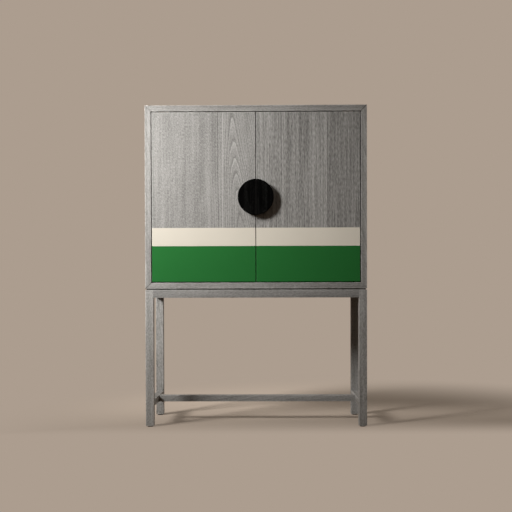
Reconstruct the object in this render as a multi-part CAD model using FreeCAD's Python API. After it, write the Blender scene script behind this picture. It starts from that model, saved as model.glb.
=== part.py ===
import FreeCAD, Part
import math
import os

# A bar cabinet on an open stand. Lengths are in millimetres. X is the width, Y runs from the
# front to the back and Z is up. The origin is on the floor, under the middle of the whole part.

# Whole cabinet
width = 1000.0
depth = 400.0
height = 1450.0
stand_height = 620.0
shadow_gap = 5.0
edge_round = 1.2
# How far a cut passes the face that it opens
overrun = 2.0
# Play round a glued or driven piece in its hole
seat_fit = 0.05

# Stand
leg_section = 36.0
top_rail_height = 36.0
top_rail_thickness = 28.0
stretcher_section = 30.0
stretcher_height = 91.0
tenon_thickness = 10.0
tenon_shoulder = 6.0
stretcher_tenon = 18.0
# Wood left between the two mortises that meet inside a leg
mortise_wall = 1.0
# Glue space at the bottom of a mortise or a groove
glue_space = 1.0

# Foot glides
glide_height = 5.0
glide_diameter = 26.0
glide_round = 1.5
glide_stem_diameter = 8.0
glide_stem_length = 14.0

# Strips of the shadow gap, and the screws that hold the cabinet down on the stand
strip_inset = 5.0
stand_screw_diameter = 6.0
stand_screw_head_diameter = 12.0
stand_screw_head_height = 4.0
stand_screw_pocket = 12.0
stand_screw_bite = 16.0
stand_screw_shares = (-0.28, 0.28)

# Carcase
panel_thickness = 27.0
# Depth of the fine V along the front of each mitre
mitre_vee = 0.8
back_thickness = 8.0
back_inset = 10.0
back_groove = 8.0
spline_thickness = 5.0
spline_width = 16.0
spline_stop = 20.0
fixed_shelf_thickness = 22.0
fixed_shelf_housing = 8.0
fixed_shelf_setback = 30.0
fixed_shelf_level_share = 0.45

# Doors
door_gap = 4.0
meeting_gap = 3.5
door_thickness = 22.0
facing_thickness = 4.0
facing_round = 0.8
green_band_height = 161.0
cream_band_height = 82.0

# Split round handle
handle_diameter = 161.0
handle_thickness = 14.0
handle_standoff = 16.0
handle_seam = 1.5
handle_round = 2.0
# Height of the handle's middle in the veneered part of the doors
handle_level_share = 0.2614
handle_spacer_diameter = 18.0
handle_spacer_reach = 38.0
handle_screw_diameter = 5.0
handle_screw_head_diameter = 9.5
handle_screw_head_height = 3.0
handle_screw_bite = 9.0

# Small countersunk screws
screw_diameter = 3.2
screw_head_diameter = 6.4
screw_length = 16.0
screw_tip = 2.5

# Pivot hinges at the top and bottom edge of each door
pivot_inset = 26.0
pivot_diameter = 6.0
pivot_reach = 4.0
pivot_well_play = 0.5
running_clearance = 0.05
plate_length = 60.0
plate_thickness = 4.0
plate_end = 8.0
plate_side_wood = 1.0
plate_screw_shares = (0.48, 0.82)
washer_diameter = 11.0

# Magnetic door catches
catch_width = 30.0
catch_depth = 18.0
catch_height = 22.0
catch_reach = 45.0
catch_drop = 13.0
catch_gap = 0.4
catch_round = 2.0
catch_peg_diameter = 8.0
catch_peg_length = 12.0
strike_diameter = 13.0
strike_thickness = 1.5
strike_pin_diameter = 4.0
strike_pin_length = 9.0

# Fold out shelf and what carries it on the right door
flap_thickness = 18.0
flap_corner = 16.0
flap_rise_share = 0.69
flap_axis_offset = 30.0
flap_axis_rise = 53.0
flap_inner_margin = 117.0
flap_outer_margin = 52.0
flap_side_gap = 1.0
flap_stow_gap = 1.0
flap_heel_clearance = 0.6
stop_rail_height = 32.0
stop_rail_gap = 0.1
stop_screw_bite = 12.0
stop_screw_shares = (0.06, 0.5, 0.94)
bracket_thickness = 4.0
bracket_height = 56.0
bracket_flange = 24.0
bracket_nose = 13.0
bracket_bend = 2.0
bracket_screw_share = 0.33
shelf_pin_diameter = 8.0
shelf_pin_head_diameter = 13.0
shelf_pin_head_height = 2.5
shelf_pin_engagement = 12.0
bush_diameter = 12.0
bush_flange_diameter = 15.0
bush_flange_thickness = 0.8
bush_end_space = 2.0
magnet_diameter = 12.0
magnet_depth = 5.0
magnet_proud = 0.6
magnet_plate_thickness = 2.0
magnet_shares = (0.25, 0.75)

# Places that follow from the sizes above
handle_projection = handle_standoff + handle_thickness
front_y = (handle_projection - depth) / 2
back_y = front_y + depth
half_width = width / 2
cabinet_bottom = stand_height + shadow_gap
inner_bottom = cabinet_bottom + panel_thickness
inner_top = height - panel_thickness
inner_height = inner_top - inner_bottom
inner_half = half_width - panel_thickness
back_front_y = back_y - back_inset - back_thickness
door_back_y = front_y + door_thickness
core_front_y = front_y + facing_thickness
door_bottom = inner_bottom + door_gap
door_top = inner_top - door_gap
green_top = door_bottom + green_band_height
cream_top = green_top + cream_band_height
fixed_shelf_bottom = inner_bottom + fixed_shelf_level_share * inner_height
fixed_shelf_top = fixed_shelf_bottom + fixed_shelf_thickness
fixed_shelf_front_y = door_back_y + fixed_shelf_setback
handle_level = cream_top + handle_level_share * (door_top - cream_top)
meeting_half = meeting_gap / 2
hinge_edge = inner_half - door_gap
pivot_x = hinge_edge - pivot_inset
pivot_y = front_y + door_thickness / 2

LEFT, RIGHT = -1, 1
LOWER, UPPER = -1, 1
Vector = FreeCAD.Vector
X_AXIS, Y_AXIS, Z_AXIS = Vector(1, 0, 0), Vector(0, 1, 0), Vector(0, 0, 1)
nodes = {}


def box(corner, opposite):
    """Box between any two opposite corners."""
    low = Vector(*(min(a, b) for a, b in zip(corner, opposite)))
    size = Vector(*(abs(a - b) for a, b in zip(corner, opposite)))
    return Part.makeBox(size.x, size.y, size.z, low)


def turned(profile, start, towards):
    """Turned solid. The profile gives (radius, distance) from a start point along a direction."""
    outline = [Vector(radius, 0, distance) for radius, distance in profile]
    face = Part.Face(Part.makePolygon(outline + outline[:1]))
    solid = face.revolve(Vector(0, 0, 0), Z_AXIS, 360)
    solid.Placement = FreeCAD.Placement(start, FreeCAD.Rotation(Z_AXIS, towards))
    return solid


def rod(diameter, start, end):
    """Round rod from one point to another."""
    return Part.makeCylinder(diameter / 2, (end - start).Length, start, end - start)


def prism(points, along):
    """Solid swept from a flat outline of points along a vector."""
    return Part.Face(Part.makePolygon(points + points[:1])).extrude(along)


def runs_along(edge, axis):
    """True for a straight edge that is parallel to an axis."""
    ends = [vertex.Point for vertex in edge.Vertexes]
    return len(ends) == 2 and abs(abs((ends[1] - ends[0]).normalize() * axis) - 1) < 1e-6


def eased(solid, radius, chosen):
    """Solid whose chosen edges are rounded over."""
    return solid.makeFillet(radius, [edge for edge in solid.Edges if chosen(edge)])


def screw(seat, towards, length):
    """Countersunk screw whose head is flush with its seat."""
    head, shank = screw_head_diameter / 2, screw_diameter / 2
    outline = [(0, 0), (head, 0), (shank, head - shank), (shank, length - screw_tip), (0, length)]
    return turned(outline, seat, towards)


def screw_hole(seat, towards, length):
    """Cutter for a countersunk screw's hole and its sink."""
    head, shank = screw_head_diameter / 2 + seat_fit, screw_diameter / 2 + seat_fit
    end = length + seat_fit
    outline = [(0, -overrun), (head, -overrun), (head, 0), (shank, head - shank), (shank, end), (0, end)]
    return turned(outline, seat, towards)


def headed_pin(diameter, head_diameter, head_height, length, seat, towards):
    """Pin or screw whose head stands on its seat."""
    pin, head = diameter / 2, head_diameter / 2
    outline = [(0, -head_height), (head, -head_height), (head, 0), (pin, 0), (pin, length), (0, length)]
    return turned(outline, seat, towards)


# Stand: square legs, an upper frame and a low H of stretchers, mortised and tenoned together

mortise_depth = leg_section - (top_rail_thickness + tenon_thickness) / 2 - mortise_wall
tenon_depth = mortise_depth - glue_space


class Bar:
    """Square bar between two corners, with a stub tenon in the middle of each end."""

    def __init__(self, low, high, axis, tenon):
        self.low, self.high, self.axis, self.tenon = low, high, axis, tenon

    def tenons(self, extra):
        """The two tenons, longer at their ends by an extra depth."""
        low, high = Vector(self.low), Vector(self.high)
        across = Y_AXIS if self.axis == X_AXIS else X_AXIS
        middle = (low + high) / 2
        half = across * (tenon_thickness / 2)
        reach = self.axis * (self.tenon + extra)
        for end, out in ((low, -reach), (high, reach)):
            start = self.axis * (end * self.axis) + across * (middle * across)
            foot = start - half + Z_AXIS * (low.z + tenon_shoulder)
            head = start + half + out + Z_AXIS * (high.z - tenon_shoulder)
            yield box(foot, head)

    def solid(self):
        """The bar with its tenons, its long edges eased."""
        body = eased(box(self.low, self.high), edge_round, lambda edge: runs_along(edge, self.axis))
        return body.fuse(list(self.tenons(0))).removeSplitter()

    def mortises(self):
        """Cutters for the mortises that take the tenons."""
        return list(self.tenons(glue_space))


leg_inner = half_width - leg_section
top_rail_bottom = stand_height - top_rail_height
stretcher_top = stretcher_height + stretcher_section
mid_y = (front_y + back_y) / 2
bars = {
    "front_top_rail": Bar(
        (-leg_inner, front_y, top_rail_bottom),
        (leg_inner, front_y + top_rail_thickness, stand_height),
        X_AXIS,
        tenon_depth,
    ),
    "rear_top_rail": Bar(
        (-leg_inner, back_y - top_rail_thickness, top_rail_bottom),
        (leg_inner, back_y, stand_height),
        X_AXIS,
        tenon_depth,
    ),
    "cross_stretcher": Bar(
        (-leg_inner, mid_y - stretcher_section / 2, stretcher_height),
        (leg_inner, mid_y + stretcher_section / 2, stretcher_top),
        X_AXIS,
        stretcher_tenon,
    ),
}
for side, name in ((LEFT, "left"), (RIGHT, "right")):
    rail_xs = sorted((side * half_width, side * (half_width - top_rail_thickness)))
    bars[name + "_top_rail"] = Bar(
        (rail_xs[0], front_y + leg_section, top_rail_bottom),
        (rail_xs[1], back_y - leg_section, stand_height),
        Y_AXIS,
        tenon_depth,
    )
    stretcher_xs = sorted((side * leg_inner, side * (leg_inner + stretcher_section)))
    bars[name + "_stretcher"] = Bar(
        (stretcher_xs[0], front_y + leg_section, stretcher_height),
        (stretcher_xs[1], back_y - leg_section, stretcher_top),
        Y_AXIS,
        stretcher_tenon,
    )

# Screws go up through pockets in the long top rails and the strips, into the bottom panel
rail_middle = top_rail_thickness / 2
stand_screw_level = top_rail_bottom + stand_screw_pocket
stand_screw_length = cabinet_bottom + stand_screw_bite - stand_screw_level
stand_screw_seats = [
    Vector(share * width, y, stand_screw_level)
    for share in stand_screw_shares
    for y in (front_y + rail_middle, back_y - rail_middle)
]
stand_screws = []
stand_screw_holes = []
for seat in stand_screw_seats:
    stand_screws.append(
        headed_pin(
            stand_screw_diameter,
            stand_screw_head_diameter,
            stand_screw_head_height,
            stand_screw_length,
            seat,
            Z_AXIS,
        )
    )
    stand_screw_holes.append(
        headed_pin(
            stand_screw_diameter + 2 * seat_fit,
            stand_screw_head_diameter + 2 * seat_fit,
            stand_screw_pocket + overrun,
            stand_screw_length + glue_space,
            seat,
            Z_AXIS,
        )
    )
nodes["stand_screws"] = Part.makeCompound(stand_screws)

cross_mortises = bars["cross_stretcher"].mortises()
for name, bar in bars.items():
    solid = bar.solid()
    if name.endswith("top_rail"):
        solid = solid.cut(stand_screw_holes)
    if name in ("left_stretcher", "right_stretcher"):
        solid = solid.cut(cross_mortises)
    nodes[name] = solid

leg_mortises = []
for name, bar in bars.items():
    if name != "cross_stretcher":
        leg_mortises += bar.mortises()
glides = []
for side, side_name in ((LEFT, "left"), (RIGHT, "right")):
    for end_name, outer_y, inward in (("front", front_y, 1), ("rear", back_y, -1)):
        outer = (side * half_width, outer_y, glide_height)
        inner = (side * leg_inner, outer_y + inward * leg_section, stand_height)
        leg = eased(box(outer, inner), edge_round, lambda edge: runs_along(edge, Z_AXIS))
        foot = Vector(
            side * (half_width - leg_section / 2), outer_y + inward * leg_section / 2, glide_height
        )
        stem_top = foot + Z_AXIS * (glide_stem_length + glue_space)
        stem_hole = rod(glide_stem_diameter + 2 * seat_fit, foot - Z_AXIS * overrun, stem_top)
        nodes[f"{end_name}_{side_name}_leg"] = leg.cut(leg_mortises + [stem_hole])
        disc = rod(glide_diameter, foot - Z_AXIS * glide_height, foot)
        rim = min(disc.Edges, key=lambda edge: edge.CenterOfMass.z)
        disc = disc.makeFillet(glide_round, [rim])
        stem = rod(glide_stem_diameter, foot, foot + Z_AXIS * glide_stem_length)
        glides.append(disc.fuse(stem))
nodes["foot_glides"] = Part.makeCompound(glides)

# Recessed strips on the stand's upper frame hold the cabinet up and leave the shadow gap
strip_outer_x = half_width - strip_inset
strip_inner_x = half_width - top_rail_thickness + strip_inset
strip_width = strip_outer_x - strip_inner_x
strips = []
for outer_y, inward in ((front_y, 1), (back_y, -1)):
    strip_y = outer_y + inward * strip_inset
    strips.append(
        box(
            (-strip_outer_x, strip_y, stand_height),
            (strip_outer_x, strip_y + inward * strip_width, cabinet_bottom),
        )
    )
for side in (LEFT, RIGHT):
    strips.append(
        box(
            (side * strip_inner_x, front_y + strip_inset + strip_width, stand_height),
            (side * strip_outer_x, back_y - strip_inset - strip_width, cabinet_bottom),
        )
    )
nodes["shadow_gap_strips"] = Part.makeCompound([strip.cut(stand_screw_holes) for strip in strips])

# Pivot hinges: a plate with a pin let into the carcase, a washer in the gap, and a plate with
# a hole let into the door's edge. The four sets are mirror images of one another.

plate_width = 2 * (door_thickness / 2 - facing_thickness - plate_side_wood)


def plate_blank(side, level, z, thickness):
    """Flat plate with round ends, its pivot near the end that is next to the door's hinge edge."""
    radius = plate_width / 2
    outer = side * (pivot_x + plate_end - radius)
    inner = side * (pivot_x + plate_end - plate_length + radius)
    near, far = pivot_y - radius, pivot_y + radius
    outer_tip = Vector(outer + side * radius, pivot_y, z)
    inner_tip = Vector(inner - side * radius, pivot_y, z)
    edges = [
        Part.LineSegment(Vector(inner, near, z), Vector(outer, near, z)),
        Part.Arc(Vector(outer, near, z), outer_tip, Vector(outer, far, z)),
        Part.LineSegment(Vector(outer, far, z), Vector(inner, far, z)),
        Part.Arc(Vector(inner, far, z), inner_tip, Vector(inner, near, z)),
    ]
    outline = Part.Wire([edge.toShape() for edge in edges])
    return Part.Face(outline).extrude(Z_AXIS * (level * thickness))


def plate_screw_seats(side, z):
    """Where the two screws of a plate sit."""
    for share in plate_screw_shares:
        yield Vector(side * (pivot_x + plate_end - share * plate_length), pivot_y, z)


frame_cuts = {UPPER: [], LOWER: []}
door_cuts = {LEFT: [], RIGHT: []}
frame_plate_screws = []
washers = []
for side, side_name in ((LEFT, "left"), (RIGHT, "right")):
    hinge_screws = []
    for level, level_name in ((UPPER, "upper"), (LOWER, "lower")):
        frame_z = inner_top if level == UPPER else inner_bottom
        door_z = door_top if level == UPPER else door_bottom
        into_frame = Z_AXIS * level
        into_door = -into_frame
        pivot_frame = Vector(side * pivot_x, pivot_y, frame_z)
        pivot_door = Vector(side * pivot_x, pivot_y, door_z)
        pin_length = door_gap + plate_thickness + pivot_reach

        frame_plate = plate_blank(side, level, frame_z, plate_thickness)
        pin = rod(pivot_diameter, pivot_frame, pivot_frame + into_door * pin_length)
        frame_plate = frame_plate.fuse(pin)
        door_plate = plate_blank(side, -level, door_z, plate_thickness)
        bore_start = pivot_door + into_frame * overrun
        bore_end = pivot_door + into_door * (plate_thickness + overrun)
        door_plate = door_plate.cut(rod(pivot_diameter + 2 * running_clearance, bore_start, bore_end))

        frame_seats = list(plate_screw_seats(side, frame_z))
        door_seats = list(plate_screw_seats(side, door_z))
        frame_holes = [screw_hole(seat, into_frame, screw_length) for seat in frame_seats]
        door_holes = [screw_hole(seat, into_door, screw_length) for seat in door_seats]
        nodes[f"{side_name}_{level_name}_pivot_plate"] = frame_plate.cut(frame_holes)
        nodes[f"{side_name}_{level_name}_hinge_plate"] = door_plate.cut(door_holes)
        frame_plate_screws += [screw(seat, into_frame, screw_length) for seat in frame_seats]
        hinge_screws += [screw(seat, into_door, screw_length) for seat in door_seats]

        washer_face = pivot_frame + into_door * (door_gap - running_clearance)
        washer = rod(washer_diameter, pivot_frame, washer_face)
        washer_bore = rod(pivot_diameter + 2 * running_clearance, pivot_frame, washer_face)
        washers.append(washer.cut(washer_bore))

        well_end = pivot_door + into_door * (plate_thickness + pivot_reach + pivot_well_play)
        well = rod(pivot_diameter + 2 * pivot_well_play, pivot_door, well_end)
        frame_cuts[level] += [plate_blank(side, level, frame_z, plate_thickness)] + frame_holes
        door_cuts[side] += [plate_blank(side, -level, door_z, plate_thickness), well] + door_holes
    nodes[side_name + "_hinge_screws"] = Part.makeCompound(hinge_screws)
nodes["pivot_plate_screws"] = Part.makeCompound(frame_plate_screws)
nodes["pivot_washers"] = Part.makeCompound(washers)

# Magnetic catches hang under the top panel, and a steel strike plate on each door meets them

catches = []
strike_level = inner_top - catch_drop
catch_front_y = door_back_y + strike_thickness + catch_gap
for side, side_name in ((LEFT, "left"), (RIGHT, "right")):
    catch_x = side * catch_reach
    housing = box(
        (catch_x - catch_width / 2, catch_front_y, inner_top - catch_height),
        (catch_x + catch_width / 2, catch_front_y + catch_depth, inner_top),
    )
    housing = eased(housing, catch_round, lambda edge: runs_along(edge, Z_AXIS))
    peg_foot = Vector(catch_x, catch_front_y + catch_depth / 2, inner_top)
    peg_top = peg_foot + Z_AXIS * catch_peg_length
    catches.append(housing.fuse(rod(catch_peg_diameter, peg_foot, peg_top)))
    peg_hole_top = peg_top + Z_AXIS * glue_space
    peg_hole = rod(catch_peg_diameter + 2 * seat_fit, peg_foot - Z_AXIS * overrun, peg_hole_top)
    frame_cuts[UPPER].append(peg_hole)

    strike_seat = Vector(catch_x, door_back_y, strike_level)
    nodes[side_name + "_strike_plate"] = headed_pin(
        strike_pin_diameter, strike_diameter, strike_thickness, strike_pin_length, strike_seat, -Y_AXIS
    )
    hole_end = strike_seat - Y_AXIS * (strike_pin_length + glue_space)
    strike_hole = rod(strike_pin_diameter + 2 * seat_fit, strike_seat + Y_AXIS * overrun, hole_end)
    door_cuts[side].append(strike_hole)
nodes["door_catches"] = Part.makeCompound(catches)

# Carcase: one mitred ring of four panels, with hidden tongues across the mitres, a back panel
# in a groove and a fixed shelf in housings

ring = box((-half_width, front_y, cabinet_bottom), (half_width, back_y, height))
opening = box(
    (-inner_half, front_y - overrun, inner_bottom), (inner_half, back_y + overrun, inner_top)
)
ring = ring.cut(opening)


def is_inside_corner(edge):
    """True for the four edges in the corners of the opening."""
    return runs_along(edge, Y_AXIS) and abs(edge.CenterOfMass.x) < half_width - panel_thickness / 2


ring = eased(ring, edge_round, lambda edge: not is_inside_corner(edge))

nodes["back_panel"] = box(
    (-inner_half - back_groove, back_front_y, inner_bottom - back_groove),
    (inner_half + back_groove, back_front_y + back_thickness, inner_top + back_groove),
)
groove_reach = back_groove + glue_space
back_groove_cut = box(
    (-inner_half - groove_reach, back_front_y, inner_bottom - groove_reach),
    (inner_half + groove_reach, back_front_y + back_thickness, inner_top + groove_reach),
)


def fixed_shelf_blank(end_space):
    """The fixed shelf, with extra length at each end where it sits in its housing."""
    reach = inner_half + fixed_shelf_housing + end_space
    return box(
        (-reach, fixed_shelf_front_y, fixed_shelf_bottom), (reach, back_front_y, fixed_shelf_top)
    )


nodes["fixed_shelf"] = eased(
    fixed_shelf_blank(0), edge_round, lambda edge: runs_along(edge, X_AXIS) and edge.CenterOfMass.y < mid_y
)

cabinet_middle = Vector(0, 0, (cabinet_bottom + height) / 2)


def mitre_vee_cut(side, level):
    """Cutter for the V along the front of one mitre, from the outer corner to the inner one."""
    corner = cabinet_middle + Vector(side * half_width, front_y, level * (height - cabinet_bottom) / 2)
    outward = Vector(side, 0, level).normalize()
    across = Vector(side, 0, -level).normalize()
    start = corner + outward * overrun
    mouth = start - Y_AXIS * overrun
    reach = across * (mitre_vee + overrun)
    run = panel_thickness * math.sqrt(2) + 2 * overrun
    return prism([mouth - reach, mouth + reach, start + Y_AXIS * mitre_vee], outward * -run)


splines = []
mitre_vees = []
for side in (LEFT, RIGHT):
    for level in (LOWER, UPPER):
        spline = box(
            (-spline_width / 2, front_y + spline_stop, -spline_thickness / 2),
            (spline_width / 2, back_front_y - spline_stop, spline_thickness / 2),
        )
        mitre_x = side * (half_width - panel_thickness / 2)
        mitre_z = level * ((height - cabinet_bottom - panel_thickness) / 2)
        place = cabinet_middle + Vector(mitre_x, 0, mitre_z)
        spline.Placement = FreeCAD.Placement(place, FreeCAD.Rotation(Y_AXIS, 45 * side * level))
        splines.append(spline)
        mitre_vees.append(mitre_vee_cut(side, level))
nodes["mitre_splines"] = Part.makeCompound(splines)
ring = ring.cut([back_groove_cut, fixed_shelf_blank(glue_space)] + splines + mitre_vees)


def mitred_panel(outward):
    """The part of the ring on one side, cut off along the two mitres."""
    # The wedge has its thin end past the inner face and its thick end past the outer face
    across = X_AXIS if abs(outward.z) else Z_AXIS
    half_run = half_width if abs(outward.z) else (height - cabinet_bottom) / 2
    half_rise = (height - cabinet_bottom) / 2 if abs(outward.z) else half_width
    start = cabinet_middle + Y_AXIS * (front_y - overrun)
    corners = []
    for rise, run_signs in ((overrun, (-1, 1)), (-panel_thickness - overrun, (1, -1))):
        for sign in run_signs:
            corners.append(start + outward * (half_rise + rise) + across * (sign * (half_run + rise)))
    return ring.common(prism(corners, Y_AXIS * (depth + 2 * overrun)))


nodes["top_panel"] = mitred_panel(Z_AXIS).cut(frame_cuts[UPPER])
nodes["bottom_panel"] = mitred_panel(-Z_AXIS).cut(frame_cuts[LOWER] + stand_screw_holes)
nodes["left_side_panel"] = mitred_panel(-X_AXIS)
nodes["right_side_panel"] = mitred_panel(X_AXIS)

# Split handle: a turned disc cut in two, each half held off its door by two spacers

handle_centre = Vector(0, front_y - handle_standoff, handle_level)
disc = rod(handle_diameter, handle_centre, handle_centre - Y_AXIS * handle_thickness)
disc = eased(disc, handle_round, lambda edge: not runs_along(edge, Y_AXIS))
handle_reach = handle_diameter / 2 + overrun
handle_screw_length = door_thickness + handle_standoff + handle_screw_bite
for side, side_name in ((LEFT, "left"), (RIGHT, "right")):
    half_space = box(
        (side * handle_seam / 2, front_y, handle_level - handle_reach),
        (side * handle_reach, front_y - handle_projection - overrun, handle_level + handle_reach),
    )
    half = disc.common(half_space)
    spacers = []
    handle_screws = []
    holes = []
    for rise in (-handle_spacer_reach, handle_spacer_reach):
        seat = Vector(side * handle_spacer_reach, door_back_y, handle_level + rise)
        tip = seat - Y_AXIS * (handle_screw_length + seat_fit)
        hole = rod(handle_screw_diameter + 2 * seat_fit, seat + Y_AXIS * overrun, tip)
        holes.append(hole)
        face = Vector(seat.x, front_y, seat.z)
        spacers.append(rod(handle_spacer_diameter, face, face - Y_AXIS * handle_standoff).cut(hole))
        handle_screws.append(
            headed_pin(
                handle_screw_diameter,
                handle_screw_head_diameter,
                handle_screw_head_height,
                handle_screw_length,
                seat,
                -Y_AXIS,
            )
        )
    nodes[side_name + "_handle_half"] = half.cut(holes)
    nodes[side_name + "_handle_spacers"] = Part.makeCompound(spacers)
    nodes[side_name + "_handle_screws"] = Part.makeCompound(handle_screws)
    door_cuts[side] += holes

# Fold out shelf: a flap on two pins behind the right door. It stands upright against a stop
# rail, and folded down its heel bears up against the rail's underside.

flap_axis_y = door_back_y + flap_axis_offset
flap_axis_z = fixed_shelf_top + flap_axis_rise
flap_back_y = flap_axis_y - flap_thickness / 2
flap_inner_x = meeting_half + flap_inner_margin
flap_outer_x = hinge_edge - flap_outer_margin
flap_length = flap_outer_x - flap_inner_x
flap_room = min(back_front_y - door_back_y, inner_top - flap_axis_z)
flap_top = flap_axis_z + flap_rise_share * flap_room
flap_heel = math.sqrt((flap_axis_offset - flap_heel_clearance) ** 2 - (flap_thickness / 2) ** 2)
stop_rail_front_y = flap_back_y - flap_stow_gap
stop_rail_bottom = flap_axis_z + flap_thickness / 2 + stop_rail_gap
magnet_level = stop_rail_bottom + stop_rail_height / 2

flap = box(
    (flap_inner_x, flap_back_y, flap_axis_z - flap_heel),
    (flap_outer_x, flap_back_y + flap_thickness, flap_top),
)
flap = eased(
    flap, flap_corner, lambda edge: runs_along(edge, Y_AXIS) and edge.CenterOfMass.z > flap_axis_z
)
flap = eased(flap, edge_round, lambda edge: not runs_along(edge, Y_AXIS))
stop_rail = box(
    (flap_inner_x, door_back_y, stop_rail_bottom),
    (flap_outer_x, stop_rail_front_y, stop_rail_bottom + stop_rail_height),
)
stop_rail = eased(
    stop_rail,
    edge_round,
    lambda edge: runs_along(edge, X_AXIS) and edge.CenterOfMass.y > stop_rail_front_y - edge_round,
)

magnets = []
magnet_plates = []
for share in magnet_shares:
    place_x = flap_inner_x + share * flap_length
    rail_face = Vector(place_x, stop_rail_front_y, magnet_level)
    magnet_end = rail_face - Y_AXIS * (magnet_depth - magnet_proud)
    magnets.append(rod(magnet_diameter, magnet_end, rail_face + Y_AXIS * magnet_proud))
    magnet_hole = rod(magnet_diameter + 2 * seat_fit, magnet_end, rail_face + Y_AXIS * overrun)
    stop_rail = stop_rail.cut(magnet_hole)
    flap_face = Vector(place_x, flap_back_y, magnet_level)
    plate_back = flap_face + Y_AXIS * magnet_plate_thickness
    magnet_plates.append(rod(magnet_diameter, flap_face, plate_back))
    flap = flap.cut(rod(magnet_diameter + 2 * seat_fit, flap_face - Y_AXIS * overrun, plate_back))
nodes["shelf_catch_magnets"] = Part.makeCompound(magnets)
nodes["shelf_catch_plates"] = Part.makeCompound(magnet_plates)

support_screws = []
stop_screw_length = stop_rail_front_y - door_back_y + stop_screw_bite
for share in stop_screw_shares:
    seat = Vector(flap_inner_x + share * flap_length, stop_rail_front_y, magnet_level)
    hole = screw_hole(seat, -Y_AXIS, stop_screw_length)
    support_screws.append(screw(seat, -Y_AXIS, stop_screw_length))
    stop_rail = stop_rail.cut(hole)
    door_cuts[RIGHT].append(hole)
nodes["shelf_stop_rail"] = stop_rail


def bracket(ear_x, out):
    """Angle bracket: a flange on the door, and an ear that tapers to a round nose at the pin."""
    upper = Vector(ear_x, door_back_y, flap_axis_z + bracket_height / 2)
    lower = Vector(ear_x, door_back_y, flap_axis_z - bracket_height / 2)
    # The straight edges leave the flange's corners and touch the nose circle
    slope = math.atan2(-bracket_height / 2, flap_axis_offset)
    reach = math.hypot(flap_axis_offset, bracket_height / 2)
    lift = math.asin(bracket_nose / reach)
    run = math.sqrt(reach**2 - bracket_nose**2)
    touch_y = door_back_y + run * math.cos(slope + lift)
    touch_rise = bracket_height / 2 + run * math.sin(slope + lift)
    upper_touch = Vector(ear_x, touch_y, flap_axis_z + touch_rise)
    lower_touch = Vector(ear_x, touch_y, flap_axis_z - touch_rise)
    nose = Vector(ear_x, flap_axis_y + bracket_nose, flap_axis_z)
    edges = [
        Part.LineSegment(lower, upper),
        Part.LineSegment(upper, upper_touch),
        Part.Arc(upper_touch, nose, lower_touch),
        Part.LineSegment(lower_touch, lower),
    ]
    outline = Part.Wire([edge.toShape() for edge in edges])
    ear = Part.Face(outline).extrude(X_AXIS * (out * bracket_thickness))
    flange = box(
        (ear_x, door_back_y, lower.z),
        (ear_x + out * bracket_flange, door_back_y + bracket_thickness, upper.z),
    )
    joined = ear.fuse(flange).removeSplitter()
    bend = Vector(ear_x + out * bracket_thickness, door_back_y + bracket_thickness, flap_axis_z)
    return eased(
        joined,
        bracket_bend,
        lambda edge: runs_along(edge, Z_AXIS) and edge.CenterOfMass.distanceToPoint(bend) < seat_fit,
    )


pins = []
bushes = []
for name, edge_x, out in (("inner", flap_inner_x, LEFT), ("outer", flap_outer_x, RIGHT)):
    outward = X_AXIS * out
    ear_x = edge_x + out * flap_side_gap
    ear = bracket(ear_x, out)
    pin_seat = Vector(ear_x + out * bracket_thickness, flap_axis_y, flap_axis_z)
    pin_length = bracket_thickness + flap_side_gap + shelf_pin_engagement
    pins.append(
        headed_pin(
            shelf_pin_diameter,
            shelf_pin_head_diameter,
            shelf_pin_head_height,
            pin_length,
            pin_seat,
            -outward,
        )
    )
    pin_hole = rod(
        shelf_pin_diameter + 2 * seat_fit,
        pin_seat + outward * overrun,
        pin_seat - outward * (bracket_thickness + overrun),
    )
    flange_seats = [
        Vector(
            ear_x + out * (bracket_flange + bracket_thickness) / 2,
            door_back_y + bracket_thickness,
            flap_axis_z + sign * bracket_screw_share * bracket_height,
        )
        for sign in (-1, 1)
    ]
    flange_holes = [screw_hole(seat, -Y_AXIS, screw_length) for seat in flange_seats]
    support_screws += [screw(seat, -Y_AXIS, screw_length) for seat in flange_seats]
    door_cuts[RIGHT] += flange_holes
    nodes[f"shelf_{name}_bracket"] = ear.cut(flange_holes + [pin_hole])

    bush_seat = Vector(edge_x, flap_axis_y, flap_axis_z)
    bush_length = shelf_pin_engagement + bush_end_space
    bush = headed_pin(
        bush_diameter, bush_flange_diameter, bush_flange_thickness, bush_length, bush_seat, -outward
    )
    bore_start = bush_seat + outward * overrun
    bore_end = bush_seat - outward * (bush_length + overrun)
    bushes.append(bush.cut(rod(shelf_pin_diameter + 2 * running_clearance, bore_start, bore_end)))
    bush_hole_end = bush_seat - outward * (bush_length + glue_space)
    flap = flap.cut(rod(bush_diameter + 2 * seat_fit, bore_start, bush_hole_end))
nodes["shelf_pivot_pins"] = Part.makeCompound(pins)
nodes["shelf_bushes"] = Part.makeCompound(bushes)
nodes["shelf_support_screws"] = Part.makeCompound(support_screws)
nodes["fold_out_shelf"] = flap

# Doors: a core board behind a veneered facing and two lacquered bands

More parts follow.
